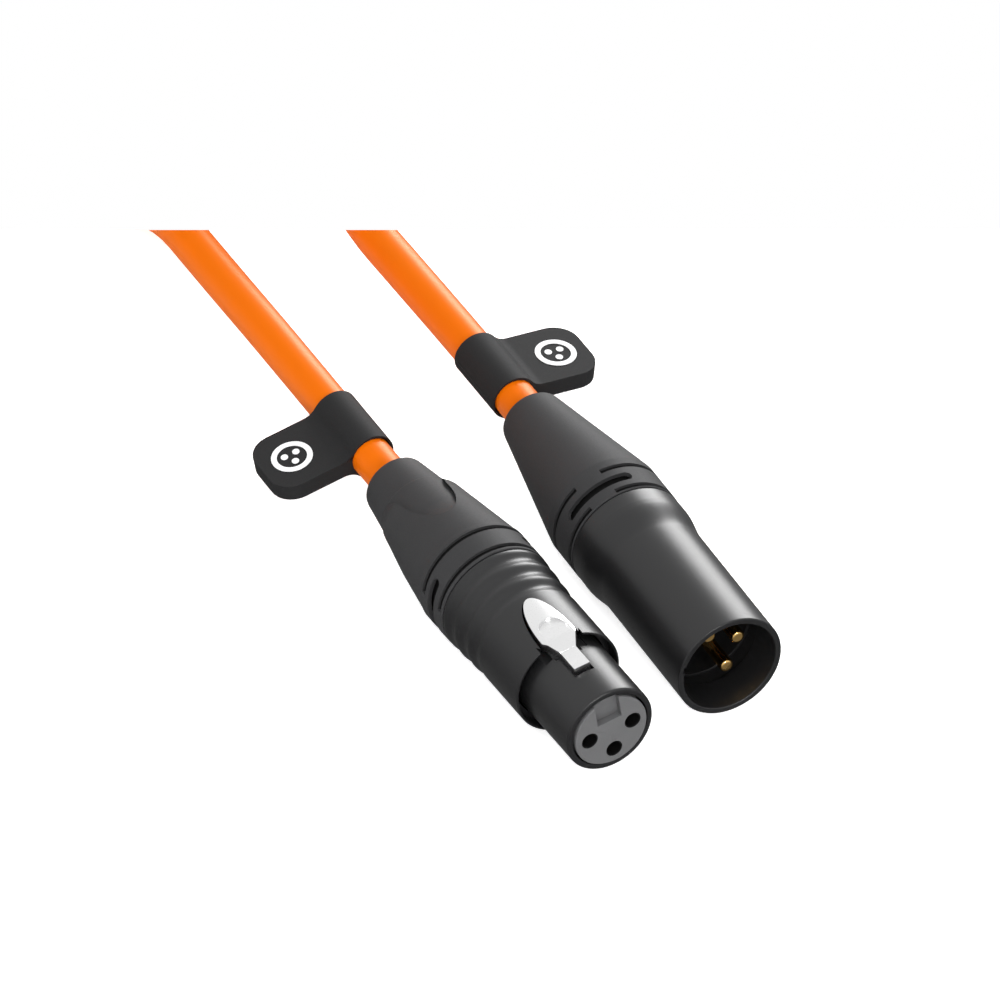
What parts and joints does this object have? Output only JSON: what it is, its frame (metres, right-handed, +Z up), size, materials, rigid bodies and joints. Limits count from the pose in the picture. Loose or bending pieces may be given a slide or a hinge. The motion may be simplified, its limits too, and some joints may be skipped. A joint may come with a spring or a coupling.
{
  "type": "microphone cable",
  "caption": "Orange microphone cable with a latching female connector, a male connector, marking tags and a strapped coil of spare length.",
  "frame": {"origin": "middle of the two connectors' footprint, on the surface that they lie on", "axes": "+Y from the connectors' open ends towards the coil, +X from the female connector to the male one, +Z up"},
  "size_m": [0.0948, 0.2571, 0.0308],
  "materials": {
    "black_shell": "satin black metal",
    "nickel": "satin nickel plate",
    "gold": "gold plate",
    "steel": "spring steel",
    "insert": "moulded",
    "nylon": "moulded nylon",
    "boot_rubber": "matte",
    "tag_rubber": "matte",
    "orange_jacket": "soft PVC jacket",
    "hook_and_loop": "woven hook and loop",
    "red_wire": "insulation",
    "white_wire": "insulation",
    "bare_wire": "bare copper screen"
  },
  "bodies": {
    "cable": {"female_shell": "black_shell", "female_nose": "black_shell", "female_insert": "insert", "female_contact_1": "gold", "female_contact_2": "gold", "female_contact_3": "gold", "latch_spring": "steel", "female_ground_clip": "steel", "female_conductor_1": "bare_wire", "female_conductor_2": "red_wire", "female_conductor_3": "white_wire", "female_cable_end": "orange_jacket", "male_shell": "black_shell", "male_insert": "insert", "male_pin_1": "gold", "male_pin_2": "gold", "male_pin_3": "gold", "male_ground_clip": "steel", "male_conductor_1": "bare_wire", "male_conductor_2": "red_wire", "male_conductor_3": "white_wire", "male_cable_end": "orange_jacket", "female_lead": "orange_jacket", "male_lead": "orange_jacket", "coil": "orange_jacket", "coil_tie": "hook_and_loop"},
    "female_latch": {"female_latch": "nickel"},
    "female_chuck": {"female_chuck": "nylon"},
    "female_cap": {"female_gland_nut": "nylon", "female_boot": "boot_rubber"},
    "male_chuck": {"male_chuck": "nylon"},
    "male_cap": {"male_gland_nut": "nylon", "male_boot": "boot_rubber"},
    "female_tag": {"female_tag": "tag_rubber"},
    "male_tag": {"male_tag": "tag_rubber"}
  },
  "joints": [
    {"name": "latch_press", "type": "hinge", "parent": "cable", "child": "female_latch", "pos_m": [-0.01423, -0.01345, 0.01957], "axis": [0.99, 0.023, 0.1392], "range_deg": [0, 4.5], "stiffness_Nm_per_rad": 0.6, "springref_deg": -1.15},
    {"name": "female_chuck_slide", "type": "slide", "parent": "cable", "child": "female_chuck", "axis": [-0.0232, 0.9997, 0], "range_m": [0, 0.004]},
    {"name": "female_cap_turn", "type": "hinge", "parent": "female_chuck", "child": "female_cap", "pos_m": [-0.0135, 0.01158, 0.01026], "axis": [-0.0232, 0.9997, 0], "range_deg": [0, 1440]},
    {"name": "male_chuck_slide", "type": "slide", "parent": "cable", "child": "male_chuck", "axis": [0.0202, 0.9998, 0], "range_m": [0, 0.004]},
    {"name": "male_cap_turn", "type": "hinge", "parent": "male_chuck", "child": "male_cap", "pos_m": [0.0135, 0.01677, 0.01026], "axis": [0.0202, 0.9998, 0], "range_deg": [0, 1440]},
    {"name": "female_tag_turn", "type": "hinge", "parent": "cable", "child": "female_tag", "pos_m": [-0.01395, 0.04869, 0.01026], "axis": [0, 1, 0], "range_deg": [-15, 120]},
    {"name": "male_tag_turn", "type": "hinge", "parent": "cable", "child": "male_tag", "pos_m": [0.01388, 0.05098, 0.01026], "axis": [0, 1, 0], "range_deg": [-120, 15]}
  ],
  "couplings": [
    {"joint": "female_cap_turn", "follows": "female_chuck_slide", "rad_per_m": 6283.1},
    {"joint": "male_cap_turn", "follows": "male_chuck_slide", "rad_per_m": 6283.1}
  ]
}
